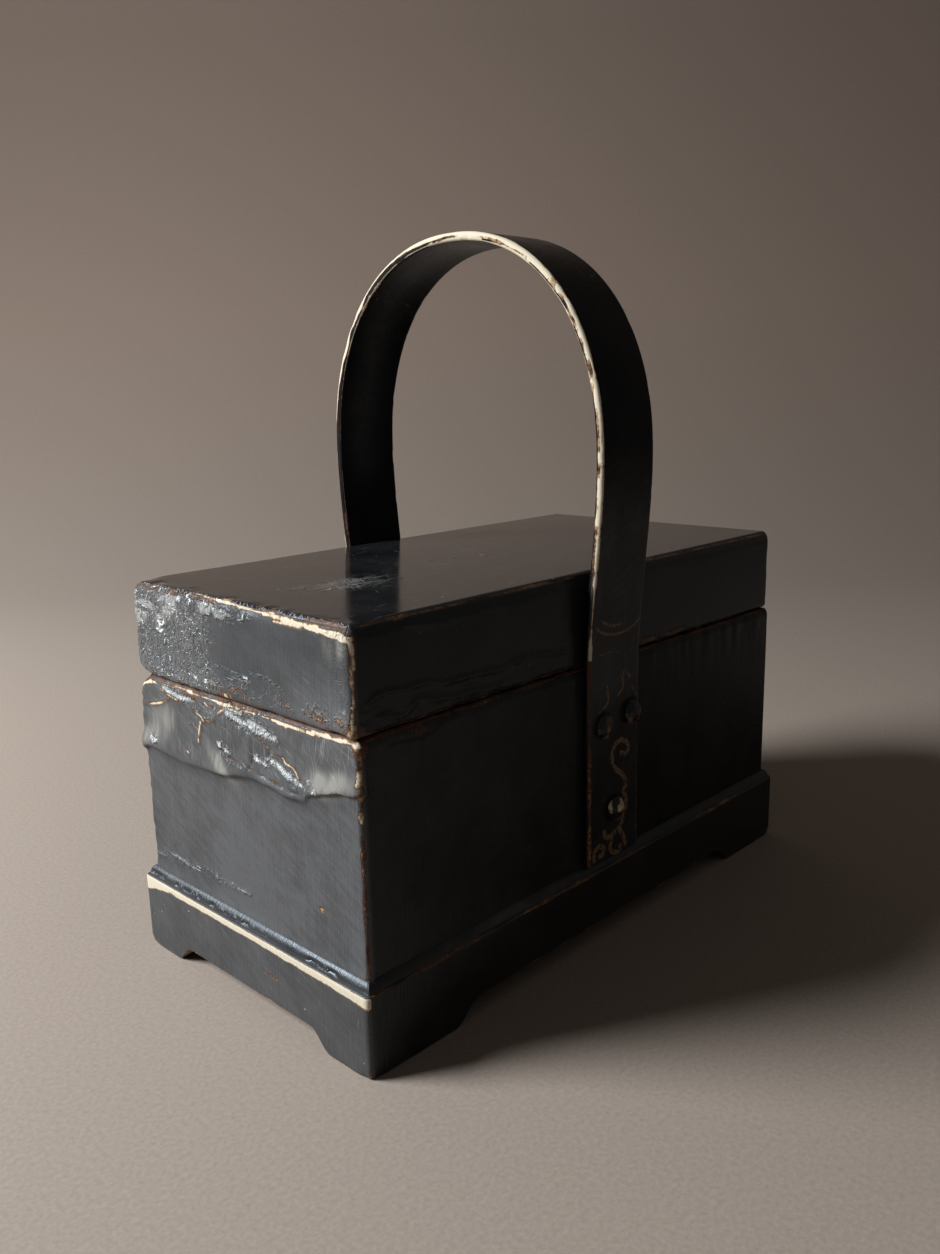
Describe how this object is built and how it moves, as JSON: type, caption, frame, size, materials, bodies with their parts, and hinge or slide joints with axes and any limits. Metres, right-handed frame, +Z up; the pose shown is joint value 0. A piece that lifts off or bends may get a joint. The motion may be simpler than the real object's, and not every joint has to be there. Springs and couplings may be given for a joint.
{
  "type": "box with handle",
  "caption": "Long wooden box in black lacquer with a lift-off lid, a bracket-foot plinth and a tall arched strip handle nailed to both long sides.",
  "frame": {"origin": "on the floor under the box, at the middle of the plinth's feet", "axes": "+X along the box, +Y across it towards the back leg of the handle, +Z up"},
  "size_m": [0.3, 0.1712, 0.3184],
  "materials": {
    "box_lacquer": "old black lacquer, glossy on top, worn to brown wood on the edges",
    "plinth_lacquer": "satin black lacquer, worn to pale wood along the top edge",
    "handle_lacquer": "glossy black lacquer with faded gilt scrollwork, worn edges",
    "nail_iron": "dark forged iron with worn lacquer"
  },
  "bodies": {
    "root": {"box_body": "box_lacquer", "lid": "box_lacquer", "plinth": "plinth_lacquer", "handle": "handle_lacquer", "nail_front_left": "nail_iron", "nail_front_right": "nail_iron", "nail_front_low": "nail_iron", "nail_back_left": "nail_iron", "nail_back_right": "nail_iron", "nail_back_low": "nail_iron"}
  },
  "joints": []
}
